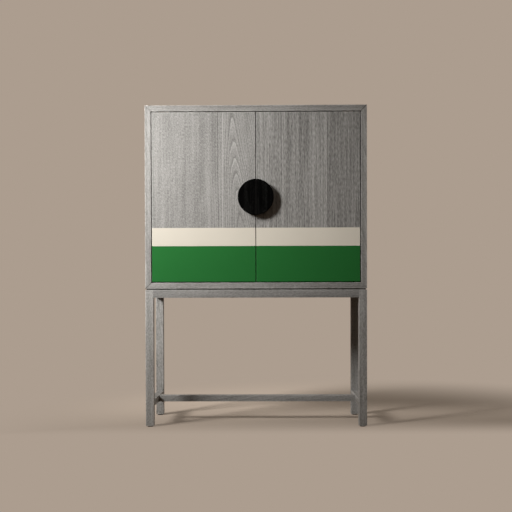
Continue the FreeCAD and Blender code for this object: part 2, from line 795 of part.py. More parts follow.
bands = (
    ("green_band", door_bottom, green_top),
    ("cream_band", green_top, cream_top),
    ("door_veneer", cream_top, door_top),
)
for side, side_name in ((LEFT, "left"), (RIGHT, "right")):
    near, far = side * meeting_half, side * hinge_edge
    core = box((near, core_front_y, door_bottom), (far, door_back_y, door_top))
    core = eased(
        core, edge_round, lambda edge: not runs_along(edge, Y_AXIS) and edge.CenterOfMass.y > pivot_y
    )
    nodes[side_name + "_door_core"] = core.cut(door_cuts[side])
    facing = box((near, front_y, door_bottom), (far, core_front_y, door_top))
    facing = eased(
        facing,
        facing_round,
        lambda edge: not runs_along(edge, Y_AXIS) and edge.CenterOfMass.y < front_y + facing_round,
    )
    facing = facing.cut(door_cuts[side])
    for band_name, low, high in bands:
        slab = box((near, front_y, low), (far, core_front_y, high))
        nodes[f"{side_name}_{band_name}"] = facing.common(slab)

os.makedirs("parts", exist_ok=True)
for name, shape in nodes.items():
    shape.exportStep(f"parts/{name}.step")
    sound = all(solid.isValid() and solid.Volume > 0 for solid in shape.Solids)
    print(f"{name}: {len(shape.Solids)} solids, {'sound' if sound else 'BROKEN'}")
print(f"{len(nodes)} nodes")
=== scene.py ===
import math

import bpy
import numpy as np
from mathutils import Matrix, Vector


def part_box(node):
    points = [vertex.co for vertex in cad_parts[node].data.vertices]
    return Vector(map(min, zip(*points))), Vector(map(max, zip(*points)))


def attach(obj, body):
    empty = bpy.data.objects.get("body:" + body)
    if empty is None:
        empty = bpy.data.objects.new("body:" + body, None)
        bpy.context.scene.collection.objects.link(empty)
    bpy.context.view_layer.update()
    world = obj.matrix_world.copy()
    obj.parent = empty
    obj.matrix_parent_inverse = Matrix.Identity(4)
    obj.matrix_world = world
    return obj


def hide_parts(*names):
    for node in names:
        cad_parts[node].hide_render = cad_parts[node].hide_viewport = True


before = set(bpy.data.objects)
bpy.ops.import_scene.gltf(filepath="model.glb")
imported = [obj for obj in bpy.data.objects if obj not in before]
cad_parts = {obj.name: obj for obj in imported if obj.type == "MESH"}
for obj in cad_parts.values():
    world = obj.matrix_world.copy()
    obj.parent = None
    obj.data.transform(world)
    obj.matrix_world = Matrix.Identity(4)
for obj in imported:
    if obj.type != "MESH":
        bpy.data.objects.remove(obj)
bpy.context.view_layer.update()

# Camera: it stands a little right of the middle, level with the top of the stand. It is turned a
# little to the left and down and is hardly tilted, and the lens shift does the rest of the framing.
frame_pixels = 512
focal_pixels = 849
lens_axis_pixels = (257.8, 300.9)
camera_place = (0.048, -4.013, 0.620)
camera_pitch = 0.76
camera_roll = 0.15
camera_yaw = 0.60
sensor_width = 36.0
camera_data = bpy.data.cameras.new("camera")
camera_data.sensor_width = sensor_width
camera_data.lens = sensor_width * focal_pixels / frame_pixels
camera_data.shift_x = 0.5 - lens_axis_pixels[0] / frame_pixels
camera_data.shift_y = lens_axis_pixels[1] / frame_pixels - 0.5
camera = bpy.data.objects.new("camera", camera_data)
camera.location = camera_place
camera_turns = (90 - camera_pitch, camera_roll, camera_yaw)
camera.rotation_euler = [math.radians(turn) for turn in camera_turns]
bpy.context.scene.collection.objects.link(camera)
bpy.context.scene.camera = camera

# Legs: four square posts of solid oak, stained grey and oiled matt. The grain runs up the post,
# and the mortises of the rails and stretchers are cut into their inner faces.


def srgb(red, green, blue):
    """Linear colour of a display colour given as 0 to 255."""
    shares = [value / 255 for value in (red, green, blue)]
    linear = [s / 12.92 if s <= 0.04045 else ((s + 0.055) / 1.055) ** 2.4 for s in shares]
    return (*linear, 1.0)


def add_node(tree, kind, inputs=None, **settings):
    """New shader node with its settings. Each input is set to a value or linked to an output."""
    node = tree.nodes.new("ShaderNode" + kind)
    for name, value in settings.items():
        setattr(node, name, value)
    for key, value in (inputs or {}).items():
        if isinstance(value, bpy.types.NodeSocket):
            tree.links.new(value, node.inputs[key])
        else:
            node.inputs[key].default_value = value
    return node


def maths(tree, operation, *values):
    """Output of a Math node on numbers or other outputs."""
    return add_node(tree, "Math", dict(enumerate(values)), operation=operation).outputs[0]


def vector_maths(tree, operation, *values):
    """Output of a Vector Math node on vectors or other outputs."""
    return add_node(tree, "VectorMath", dict(enumerate(values)), operation=operation).outputs[0]


def parts_of(tree, vector):
    """The X, Y and Z outputs of a vector."""
    return add_node(tree, "SeparateXYZ", {0: vector}).outputs


def soft_step(tree, value, start, end):
    """Output that goes smoothly from 0 at a start value to 1 at an end value."""
    limits = {"Value": value, "From Min": start, "From Max": end}
    return add_node(tree, "MapRange", limits, interpolation_type="SMOOTHSTEP").outputs[0]


def weighted_sum(tree, start, *terms):
    """Start plus each output times its weight."""
    total = start
    for output, weight in terms:
        total = maths(tree, "MULTIPLY_ADD", output, weight, total)
    return total


def blend(tree, share, first, second):
    """Colour that goes from a first one to a second one as the share goes from 0 to 1."""
    return add_node(tree, "MixRGB", {"Fac": share, "Color1": first, "Color2": second}).outputs[0]


def noise(tree, vector, scale, detail):
    """Noise from 0 to 1, with a scale of so many patches in a metre."""
    return add_node(tree, "TexNoise", {"Vector": vector, "Scale": scale, "Detail": detail}).outputs["Fac"]


def new_group(name, inputs, outputs):
    """Empty shader node group with named sockets, and its inputs and outputs by name."""
    tree = bpy.data.node_groups.new(name, "ShaderNodeTree")
    for label, kind in inputs.items():
        tree.interface.new_socket(label, in_out="INPUT", socket_type="NodeSocket" + kind)
    for label, kind in outputs.items():
        tree.interface.new_socket(label, in_out="OUTPUT", socket_type="NodeSocket" + kind)
    return tree, tree.nodes.new("NodeGroupInput").outputs, tree.nodes.new("NodeGroupOutput").inputs


def grain_noise(tree, vector, width, length, detail=1.0):
    """Noise from -0.5 to 0.5 in patches of a width across the grain and a length along it."""
    place = vector_maths(tree, "MULTIPLY", vector, (1 / width, 1 / width, 1 / length))
    return maths(tree, "SUBTRACT", noise(tree, place, 1.0, detail), 0.5)


# Oak as it grows. Vector has X and Y across the grain and Z along it, in metres. Each year's ring
# lies where the distance from the pith, plus a taper along the trunk, passes a whole ring width,
# so a face shows arches over the crown and straight lines away from it.
oak_inputs = ("Crown", "Pith Depth", "Taper", "Ring Width", "Figure")
oak_inputs += ("Speckle", "Slant", "Streaks", "Bands", "Lines")
trunk_swing = 0.03
ring_wander = 0.0035
early_end = 0.45
late_start = 0.65
late_full = 0.95
pore_start = 0.03
pore_full = 0.16
pores_all_year = 0.4
middle_tone = 0.5
blotch_weight = 0.2
cloud_weight = 0.25
pore_weight = -0.22
pore_depth = -0.5
oak_grain, grown, oak_out = new_group(
    "oak_grain",
    {"Vector": "Vector"} | {label: "Float" for label in oak_inputs},
    {"Tone": "Float", "Pores": "Float", "Relief": "Float"},
)
place = grown["Vector"]
xyz = parts_of(oak_grain, place)
across = maths(oak_grain, "SUBTRACT", xyz[0], grown["Crown"])
deep = maths(oak_grain, "SUBTRACT", xyz[1], grown["Pith Depth"])
across_squared = maths(oak_grain, "MULTIPLY", across, across)
distance_squared = maths(oak_grain, "MULTIPLY_ADD", deep, deep, across_squared)
distance = maths(oak_grain, "SQRT", distance_squared)
radius = weighted_sum(
    oak_grain,
    distance,
    (xyz[2], grown["Taper"]),
    (grain_noise(oak_grain, place, width=0.11, length=0.5), trunk_swing),
    (grain_noise(oak_grain, place, width=0.016, length=0.12), ring_wander),
)
years = maths(oak_grain, "DIVIDE", radius, grown["Ring Width"])
season = maths(oak_grain, "FRACT", years)
year_number = maths(oak_grain, "FLOOR", years)
year_noise = add_node(oak_grain, "TexWhiteNoise", {"W": year_number}, noise_dimensions="1D")
year_strength = year_noise.outputs["Value"]
early = soft_step(oak_grain, season, early_end, 0.0)
late = soft_step(oak_grain, season, late_start, late_full)
contrast = maths(oak_grain, "SUBTRACT", late, early)
ring_shade = maths(oak_grain, "MULTIPLY", contrast, year_strength)
pore_noise = grain_noise(oak_grain, place, width=0.0014, length=0.016)
pore_mask = soft_step(oak_grain, pore_noise, pore_start, pore_full)
in_season = maths(oak_grain, "MULTIPLY_ADD", early, 1 - pores_all_year, pores_all_year)
pores = maths(oak_grain, "MULTIPLY", pore_mask, in_season)
aslant = maths(oak_grain, "MULTIPLY_ADD", xyz[2], grown["Slant"], xyz[0])
fleck_place = add_node(oak_grain, "CombineXYZ", {0: aslant, 1: xyz[1], 2: xyz[2]}).outputs[0]
flecks = grain_noise(oak_grain, fleck_place, width=0.0042, length=0.009)
tone = weighted_sum(
    oak_grain,
    middle_tone,
    (ring_shade, grown["Figure"]),
    (flecks, grown["Speckle"]),
    (grain_noise(oak_grain, place, width=0.014, length=0.9, detail=3.0), grown["Streaks"]),
    (grain_noise(oak_grain, place, width=0.03, length=0.35), grown["Bands"]),
    (grain_noise(oak_grain, place, width=0.0065, length=0.14, detail=2.0), grown["Lines"]),
    (grain_noise(oak_grain, place, width=0.035, length=0.1), blotch_weight),
    (grain_noise(oak_grain, place, width=0.2, length=0.5), cloud_weight),
    (pores, pore_weight),
)
relief = weighted_sum(oak_grain, middle_tone, (flecks, 1.0), (pores, pore_depth))
oak_grain.links.new(tone, oak_out["Tone"])
oak_grain.links.new(pores, oak_out["Pores"])
oak_grain.links.new(relief, oak_out["Relief"])

# Wear along a squared board's arrises, where the stain is rubbed thin. Only near an arris are two
# faces of the board's box close, so the second smallest of the three distances to them says how far
# away it is.
rub_scale = 45.0
rub_start = 0.25
rub_full = 0.65
arris_wear, worn, wear_out = new_group(
    "arris_wear",
    {"Vector": "Vector", "Low": "Vector", "High": "Vector", "Width": "Float"},
    {"Mask": "Float"},
)
place = worn["Vector"]
above_low = vector_maths(arris_wear, "SUBTRACT", place, worn["Low"])
below_high = vector_maths(arris_wear, "SUBTRACT", worn["High"], place)
xyz = parts_of(arris_wear, vector_maths(arris_wear, "MINIMUM", above_low, below_high))
lesser = maths(arris_wear, "MINIMUM", xyz[0], xyz[1])
greater = maths(arris_wear, "MAXIMUM", xyz[0], xyz[1])
from_arris = maths(arris_wear, "MAXIMUM", lesser, maths(arris_wear, "MINIMUM", greater, xyz[2]))
along_arris = soft_step(arris_wear, from_arris, worn["Width"], 0.0)
rubbed = soft_step(arris_wear, noise(arris_wear, place, rub_scale, detail=2.0), rub_start, rub_full)
arris_wear.links.new(maths(arris_wear, "MULTIPLY", along_arris, rubbed), wear_out["Mask"])

oak_shadow_grey = srgb(96, 94, 90)
oak_light_grey = srgb(190, 187, 182)
oak_roughness = 0.55
oak_gloss = 0.2
pore_dullness = 0.2
oak_relief = {"Strength": 0.5, "Distance": 0.0004}


def empty_material(name):
    """New material with no shader yet, its node tree, and Object coordinates in that tree."""
    material = bpy.data.materials.new(name)
    material.use_nodes = True
    tree = material.node_tree
    tree.nodes.clear()
    return material, tree, add_node(tree, "TexCoord").outputs["Object"]


def coat(tree, surface):
    """Ends a material with one shader that has the surface's values and outputs."""
    shader = add_node(tree, "BsdfPrincipled", surface)
    add_node(tree, "OutputMaterial", {"Surface": shader.outputs[0]})


def at_level(colour, level):
    """Colour with its light scaled by a level."""
    return [share * level for share in colour[:3]] + [1.0]


def oiled_oak(tree, vector, settings, level, tone_terms=()):
    """Ends a material with grey oiled oak: dark pores, a little sunk and dull, on an uneven ground."""
    grain = add_node(tree, "Group", {"Vector": vector} | settings, node_tree=oak_grain).outputs
    tone = weighted_sum(tree, grain["Tone"], *tone_terms)
    colour = blend(tree, tone, at_level(oak_shadow_grey, level), at_level(oak_light_grey, level))
    dullness = maths(tree, "MULTIPLY_ADD", grain["Pores"], pore_dullness, oak_roughness)
    bump = add_node(tree, "Bump", oak_relief | {"Height": grain["Relief"]})
    surface = {"Base Color": colour, "Roughness": dullness, "Normal": bump.outputs[0]}
    coat(tree, surface | {"Specular IOR Level": oak_gloss})


grain_turns = {
    "up": (0, 0, 0),
    "sideways": (0, math.radians(-90), 0),
    "back": (math.radians(90), 0, 0),
}
board_oak = {
    "Crown": 0.0,
    "Pith Depth": 0.09,
    "Taper": 0.06,
    "Ring Width": 0.007,
    "Figure": 0.15,
    "Speckle": 0.6,
    "Slant": 0.0,
    "Streaks": 0.6,
    "Bands": 0.3,
    "Lines": 0.0,
}
leg_oak = board_oak | {"Speckle": 0.9, "Lines": 0.5}
arris_width = 0.004
arris_weight = 0.5


def arris_mask(tree, place, low, high):
    """Mask of the worn arrises of a board that fills the box from a low to a high corner."""
    inputs = {"Vector": place, "Low": low, "High": high, "Width": arris_width}
    return add_node(tree, "Group", inputs, node_tree=arris_wear).outputs["Mask"]


def dress(material, *nodes):
    """Gives CAD nodes their finish."""
    for node in nodes:
        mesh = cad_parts[node].data
        mesh.materials.clear()
        mesh.materials.append(material)


def along_the_row(start, step, number):
    """Shift of one of a row of like boards: a start, and a step for each board before it."""
    return [first + number * more for first, more in zip(start, step)]


def oak_board(node, runs, shift, level, mark=None, mark_weight=0.0, wood=board_oak):
    """Makes a CAD node an oak board whose grain runs up, sideways or back. The shift picks its tree,
    and a mark is a mask that changes its tone by a weight."""
    material, tree, place = empty_material(node + "_oak")
    turn = {"Vector": place, "Rotation": grain_turns[runs], "Location": shift}
    turned = add_node(tree, "Mapping", turn).outputs[0]
    terms = [(arris_mask(tree, place, *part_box(node)), arris_weight)]
    if mark:
        terms.append((mark(tree, place), mark_weight))
    oiled_oak(tree, turned, wood, level, terms)
    dress(material, node)


# Each leg's level paints in the light and shade on it: the front left leg is lit most, the rear right one
# is in painted shade.
leg_shade_levels = {
    "front_left_leg": 0.955,
    "front_right_leg": 0.865,
    "rear_left_leg": 0.73,
    "rear_right_leg": 0.67,
}
leg_start = (0.0, 0.0, 0.0)
leg_step = (0.31, 0.17, 0.9)
for number, (leg, level) in enumerate(leg_shade_levels.items()):
    oak_board(leg, "up", along_the_row(leg_start, leg_step, number), level, wood=leg_oak)

# Rails and stretchers: square oak bars with the grain along each bar, tenoned into the legs. The
# upper frame carries the cabinet. Of the low H, the cross stretcher is tenoned into the other two.
# These levels paint shade on the stand: the bars are darker copies of the oak, and the front top rail is
# darkest.
bar_shade_level = 0.74
long_bar_shade_levels = {"front_top_rail": 0.69, "rear_top_rail": bar_shade_level, "cross_stretcher": bar_shade_level}
long_bar_start = (0.0, 0.4, 0.0)
long_bar_step = (0.23, 0.3, 2.0)
for number, (bar, level) in enumerate(long_bar_shade_levels.items()):
    oak_board(bar, "sideways", along_the_row(long_bar_start, long_bar_step, number), level)
side_bar_names = ("left_top_rail", "right_top_rail", "left_stretcher", "right_stretcher")
side_bar_start = (0.0, 0.7, 0.0)
side_bar_step = (0.29, 0.2, 1.5)
for number, bar in enumerate(side_bar_names):
    oak_board(bar, "back", along_the_row(side_bar_start, side_bar_step, number), bar_shade_level)

# Foot glides: discs of black moulded nylon with a stem driven into each leg.
# The mould leaves a fine even grain on them.
nylon_black = srgb(14, 14, 14)
nylon_roughness = 0.45
grit_scale = 1800.0
grit_dullness = 0.2
grit_relief = {"Strength": 0.3, "Distance": 0.0001}
nylon, tree, place = empty_material("black_nylon")
grit = noise(tree, place, grit_scale, detail=2.0)
bump = add_node(tree, "Bump", grit_relief | {"Height": grit})
dullness = maths(tree, "MULTIPLY_ADD", grit, grit_dullness, nylon_roughness)
coat(tree, {"Base Color": nylon_black, "Roughness": dullness, "Normal": bump.outputs[0]})
dress(nylon, "foot_glides")

# Shadow gap strips: black-stained hardwood strips, set back from the stand's edge.
# They hold the cabinet off the stand, so that a dark line runs between the two.
strip_black = srgb(28, 26, 25)
strip_roughness = 0.55
fibre_scale = 300.0
fibre_dullness = 0.3
strip, tree, place = empty_material("blackened_strip")
fibre = noise(tree, place, fibre_scale, detail=2.0)
dullness = maths(tree, "MULTIPLY_ADD", fibre, fibre_dullness, strip_roughness)
coat(tree, {"Base Color": strip_black, "Roughness": dullness})
dress(strip, "shadow_gap_strips")

# Stand screws: pan-headed steel screws that go up through the front and rear rails, from pockets in
# their undersides, and hold the cabinet down on the stand.
scratch_scale = 900.0
scratch_dullness = 0.2


def brushed_metal(name, colour, roughness, metallic=1.0):
    """Metal or coated metal with fine scratches in its gloss."""
    material, tree, place = empty_material(name)
    scratch = noise(tree, place, scratch_scale, detail=3.0)
    smoothest = roughness - scratch_dullness / 2
    dullness = maths(tree, "MULTIPLY_ADD", scratch, scratch_dullness, smoothest)
    coat(tree, {"Base Color": colour, "Roughness": dullness, "Metallic": metallic})
    return material


Y_AXIS = 1
Z_AXIS = 2
side_gap = 0.005
end_gap = 0.1


def solids_of(node, along):
    """Vertices of each of a CAD node's solids, which lie apart by more than a side gap, or by more
    than an end gap along their length."""
    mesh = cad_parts[node].data
    places = np.empty(3 * len(mesh.vertices))
    mesh.vertices.foreach_get("co", places)
    solids = [places.reshape(-1, 3)]
    for axis in range(3):
        gap = end_gap if axis == along else side_gap
        split = []
        for solid in solids:
            in_order = solid[np.argsort(solid[:, axis])]
            cuts = np.flatnonzero(np.diff(in_order[:, axis]) > gap) + 1
            split.extend(np.split(in_order, cuts))
        solids = split
    return solids


def closed_rings(rings, poles):
    """Points and faces of a surface of rings, closed round each ring and by a pole at either end."""
    count, steps = rings.shape[:2]
    index = np.arange(count * steps).reshape(count, steps)
    onward = np.roll(index, -1, axis=1)
    quads = np.stack((index[:-1], onward[:-1], onward[1:], index[1:]), axis=-1).reshape(-1, 4)
    first = np.full(steps, index.size)
    start = np.stack((first, onward[0], index[0]), axis=-1)
    end = np.stack((first + 1, index[-1], onward[-1]), axis=-1)
    return np.concatenate((rings.reshape(-1, 3), poles)), (quads, start, end)


def repeated(faces, step, count):
    """Faces of copies of a shape, each copy's points a step further on."""
    shifts = step * np.arange(count)[:, None, None]
    return [(part + shifts).reshape(-1, part.shape[1]) for part in faces]


sharp_angle = 35


def new_piece(name, points, faces, material):
    """Object of a mesh with smooth faces and sharp arrises."""
    mesh = bpy.data.meshes.new(name)
    mesh.from_pydata(points.tolist(), [], [face for part in faces for face in part.tolist()])
    mesh.polygons.foreach_set("use_smooth", np.ones(len(mesh.polygons), dtype=bool))
    mesh.set_sharp_from_angle(angle=math.radians(sharp_angle))
    mesh.materials.append(material)
    piece = bpy.data.objects.new(name, mesh)
    bpy.context.scene.collection.objects.link(piece)
    return piece


screw_steps = 48
head_rings = 14
thread_rings = 6
ridge_power = 3
core_share = 0.72
dome_share = 0.6
cross_reach_share = 0.62
cross_arm_share = 0.15
cross_depth_share = 0.4
cross_end_slope = 3


def screw_shape(head, length, shank, pitch, head_height, countersunk=False):
    """A screw that points along Z from the top of its head. The radius and the depth follow its
    outline: over the head, domed as the square of the radius, under it, flat or as a cone, and along
    the core to the point. The thread stands on the core where the depth in pitches is the share of a
    turn, and the driver's cross is sunk in the head along two arms."""
    turn = np.linspace(0, 2 * np.pi, screw_steps, endpoint=False)
    over = np.linspace(1 / head_rings, 1, head_rings)
    core = core_share * shank
    neck = head - shank if countersunk else head_height
    down = np.arange(neck, length - 2 * shank, pitch / thread_rings)
    dome = dome_share * head_height * over**2
    radius = np.concatenate((head * over, [head], np.full(down.size, core), [core / 2]))
    depth = np.concatenate((dome, [head_height], down, [length - shank / 2]))
    ring = np.arange(radius.size)[:, None]
    threaded = (ring > head_rings) & (ring <= head_rings + down.size)
    ridge = (0.5 + 0.5 * np.cos(2 * np.pi * depth[:, None] / pitch - turn)) ** ridge_power
    radius = radius[:, None] + threaded * (shank - core) * ridge
    x = radius * np.cos(turn)
    y = radius * np.sin(turn)
    from_arm = np.minimum(np.abs(x), np.abs(y)) / (cross_arm_share * head)
    within = 1 - radius / (cross_reach_share * head)
    cross = np.clip(2 - from_arm, 0, 1) * np.clip(cross_end_slope * within, 0, 1)
    sunk = cross * cross_depth_share * head
    z = depth[:, None] + (ring < head_rings) * sunk
    poles = np.array(((0, 0, cross_depth_share * head), (0, 0, length)))
    return closed_rings(np.stack((x, y, z), axis=-1), poles)


def turned_screws(name, node, along, shape, material, body):
    """Threaded screws in place of a CAD node's plain ones, each with its head where the plain one is
    widest."""
    points, faces = [], []
    used = 0
    for solid in solids_of(node, along):
        low, high = solid.min(axis=0), solid.max(axis=0)
        middle = (low + high) / 2
        aside = np.delete(solid - middle, along, axis=1)
        reach = np.hypot(*aside.T)
        points_up = solid[reach.argmax(), along] < middle[along]
        seat = middle.copy()
        seat[along] = low[along] if points_up else high[along]
        turns = np.roll(np.eye(3), along + 1, axis=1)
        if not points_up:
            turns[1:] *= -1
        screw, parts = screw_shape(reach.max(), high[along] - low[along], **shape)
        points.append(screw @ turns + seat)
        faces.extend(part + used for part in parts)
        used += len(screw)
    piece = new_piece(name, np.concatenate(points), faces, material)
    dress(material, node)
    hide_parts(node)
    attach(piece, body)


zinc_grey = srgb(176, 177, 178)
steel = brushed_metal("zinc_steel", zinc_grey, roughness=0.38)
stand_screw = {"shank": 0.003, "pitch": 0.0025, "head_height": 0.004}
turned_screws("stand_threaded_screws", "stand_screws", Z_AXIS, stand_screw, steel, "cabinet")

# Carcase: four oak panels, mitred at the corners round hidden tongues. The grain runs round the
# ring, along the top and bottom and up the sides, and a fine dark line shows where two of the mitres
# have opened a little.
# Each panel's level paints in the light and shade it gets: the bottom panel is darkest and the right side
# lightest.
carcase_shade_levels = {
    "top_panel": 0.89,
    "bottom_panel": 0.81,
    "left_side_panel": 0.83,
    "right_side_panel": 0.94,
}
side_pith_depth = 0.05
ring_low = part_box("bottom_panel")[0]
ring_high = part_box("top_panel")[1]
ring_middle = (ring_low + ring_high) / 2
ring_half = (ring_high - ring_low) / 2
mitre_line_width = 0.0028
mitre_weight = -0.9
mitre_open_start = -1.6


def mitre_line(tree, place):
    """Mask of the mitre lines, where a point is as far from the side as from the top or bottom.
    Two of them, at opposite corners, have opened a little, and the others hardly show."""
    parts = parts_of(tree, vector_maths(tree, "SUBTRACT", place, ring_middle))
    sideways = maths(tree, "ABSOLUTE", parts[0])
    upright = maths(tree, "ADD", maths(tree, "ABSOLUTE", parts[2]), ring_half.x - ring_half.z)
    apart = maths(tree, "ABSOLUTE", maths(tree, "SUBTRACT", sideways, upright))
    line = soft_step(tree, apart, mitre_line_width, 0.0)
    corner = maths(tree, "MULTIPLY", parts[0], parts[2])
    full = ring_half.x * ring_half.z
    return maths(tree, "MULTIPLY", line, soft_step(tree, corner, mitre_open_start * full, full))


flat_panel_start = (1.1, 0.0, 0.0)
flat_panel_step = (-0.3, 0.2, 3.0)
for number, panel in enumerate(("top_panel", "bottom_panel")):
    shift = along_the_row(flat_panel_start, flat_panel_step, number)
    oak_board(panel, "sideways", shift, carcase_shade_levels[panel], mitre_line, mitre_weight)
side_crown = 0.06
side_panel_step = (0.0, 0.07, 3.0)
outer_faces = {"left_side_panel": ring_low.x, "right_side_panel": ring_high.x}
for number, (panel, face) in enumerate(outer_faces.items()):
    shift = along_the_row((side_pith_depth - face, side_crown, 0.0), side_panel_step, number)
    oak_board(panel, "up", shift, carcase_shade_levels[panel], mitre_line, mitre_weight)

# Back panel and fixed shelf: oak boards in a groove and in housings of the carcase. Their oak is paler
# than the outside's, as painted light in the shaded inside. The mitre tongues are oak too.
inner_painted_light_level = 1.3
oak_board("back_panel", "up", shift=(3.3, 0.0, 1.0), level=inner_painted_light_level)
oak_board("fixed_shelf", "sideways", shift=(1.15, 0.2, 4.0), level=inner_painted_light_level)
oak_board("mitre_splines", "back", shift=(4.1, 0.4, 7.0), level=inner_painted_light_level)

# Doors: a core board with a facing of two veneer leaves above and two lacquered bands below.
# The leaves meet at a straight joint, and each has its own figure.
core_start = (4.1, 0.0, 0.0)
core_step = (0.4, 0.2, 3.0)
# The door cores take the same paler inner level, painted light for the shaded inside.
for number, core in enumerate(("left_door_core", "right_door_core")):
    oak_board(core, "up", along_the_row(core_start, core_step, number), inner_painted_light_level)

# The door levels paint light: the right door is set paler than the left to make up for the light falling
# off towards it.
left_door_light_level = 0.79
right_door_light_level = 0.83
leaf_width = 0.320
leaf_joint_width = 0.002
leaf_edge_width = 0.085
other_log = (0.0, 0.0, 5.927)
band_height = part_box("left_door_veneer")[0].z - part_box("left_green_band")[0].z


def two_leaf_veneer(node, left, right, along_share, joint_weight, level):
    """Makes a CAD node a facing of two veneer leaves, with settings for each leaf and their joint. The
    grain is read at a share of the height, so that a half draws it out to twice its length."""
    material, tree, place = empty_material(node + "_leaves")
    low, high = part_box(node)
    x, y, z = parts_of(tree, vector_maths(tree, "SUBTRACT", place, low))
    from_joint = maths(tree, "SUBTRACT", x, leaf_width)
    on_right = maths(tree, "GREATER_THAN", from_joint, 0.0)
    lean = maths(tree, "MULTIPLY_ADD", on_right, right["Lean"] - left["Lean"], left["Lean"])
    upright = maths(tree, "SUBTRACT", x, maths(tree, "MULTIPLY", z, lean))
    length = maths(tree, "MULTIPLY", z, along_share)
    grown = add_node(tree, "CombineXYZ", {0: upright, 1: y, 2: length}).outputs[0]
    vector = vector_maths(tree, "MULTIPLY_ADD", on_right, other_log, grown)
    settings = {}
    for label in oak_inputs:
        settings[label] = maths(tree, "MULTIPLY_ADD", on_right, right[label] - left[label], left[label])
    left_edge = maths(tree, "SUBTRACT", soft_step(tree, from_joint, -leaf_edge_width, 0.0), on_right)
    right_edge = maths(tree, "MULTIPLY", soft_step(tree, from_joint, leaf_edge_width, 0.0), on_right)
    settings["Figure"] = weighted_sum(tree, settings["Figure"], (left_edge, left["Edge"]))
    joint = soft_step(tree, maths(tree, "ABSOLUTE", from_joint), leaf_joint_width, 0.0)
    worn_arris = arris_mask(tree, place, low - Vector((0.0, 0.0, band_height)), high)
    terms = [(joint, joint_weight), (on_right, right["Shade"]), (worn_arris, arris_weight)]
    terms += [(left_edge, left["Edge Shade"]), (right_edge, right["Edge Shade"])]
    oiled_oak(tree, vector, settings, level, terms)
    dress(material, node)


# A leaf's crown is measured from the facing's left edge and leans by a share of the height, and its
# pith lies behind the face. Beside the joint, Edge is how much stronger a left leaf's figure is, and
# Edge Shade how much paler a leaf is. Shade is how much paler a right leaf is than the left one.
even_leaf = {"Lean": 0.0, "Edge": 0.0, "Shade": 0.0, "Edge Shade": 0.0}
straight_leaf = even_leaf | {
    "Crown": -0.2,
    "Pith Depth": 0.16,
    "Taper": 0.015,
    "Ring Width": 0.0105,
    "Figure": 0.1,
    "Speckle": 1.05,
    "Slant": 0.45,
    "Streaks": 0.38,
    "Bands": 0.4,
    "Lines": 0.0,
    "Edge": 0.4,
}
# The arched leaf's Shade and Edge Shade are partly its own tone and partly painted light: the left door
# grows paler towards its meeting edge.
arched_leaf = even_leaf | {
    "Crown": 0.4,
    "Pith Depth": 0.035,
    "Taper": 0.085,
    "Ring Width": 0.0075,
    "Figure": 0.33,
    "Speckle": 0.95,
    "Slant": 0.15,
    "Streaks": 0.4,
    "Bands": 0.4,
    "Lines": 0.0,
    "Lean": -0.083,
    "Shade": 0.1,
    "Edge Shade": -0.09,
}
# The streaked leaf's Edge Shade is painted light: it makes the middle of the right door paler, where the
# light falls off.
streaked_leaf = even_leaf | {
    "Crown": -0.3,
    "Pith Depth": 0.1,
    "Taper": 0.04,
    "Ring Width": 0.0065,
    "Figure": 0.3,
    "Speckle": 1.15,
    "Slant": 0.1,
    "Streaks": 0.65,
    "Bands": 0.4,
    "Lines": 0.9,
    "Edge Shade": 0.1,
}
shaded_leaf = streaked_leaf | {
    "Crown": 0.7,
    "Speckle": 1.1,
    "Streaks": 0.8,
    "Bands": 0.5,
    "Lines": 1.0,
    "Shade": -0.01,
    "Edge Shade": -0.13,
}
left_facing = {"along_share": 1.0, "joint_weight": 0.7, "level": left_door_light_level}
right_facing = {"along_share": 0.5, "joint_weight": -0.3, "level": right_door_light_level}
two_leaf_veneer("left_door_veneer", straight_leaf, arched_leaf, **left_facing)
two_leaf_veneer("right_door_veneer", streaked_leaf, shaded_leaf, **right_facing)

# Lacquered bands: boards sprayed with satin cream and green lacquer.
# The spray leaves a faint orange peel and a slightly uneven gloss. The cream is painted paler towards
# the right, as painted light that makes up for the light falling off there.
lacquer_cream = srgb(212, 204, 189)
lacquer_green = srgb(36, 102, 47)
# The pale arris tint and its share paint a highlight along the band's upright arrises.
lacquer_highlight_colour = srgb(226, 222, 210)
lacquer_highlight_share = 0.015
cream_roughness = 0.42
green_roughness = 0.38
lacquer_gloss = 0.1
# The cream's gradient to the right is painted light.
cream_light_gradient = 0.3
green_light_gradient = 0.0
mottle_scale = 9.0
mottle_shade = 0.94
mottle_dullness = 0.1
peel_scale = 420.0
peel_relief = {"Strength": 0.12, "Distance": 0.0002}
band_reach = Vector((0.0, 0.0, 1.0))


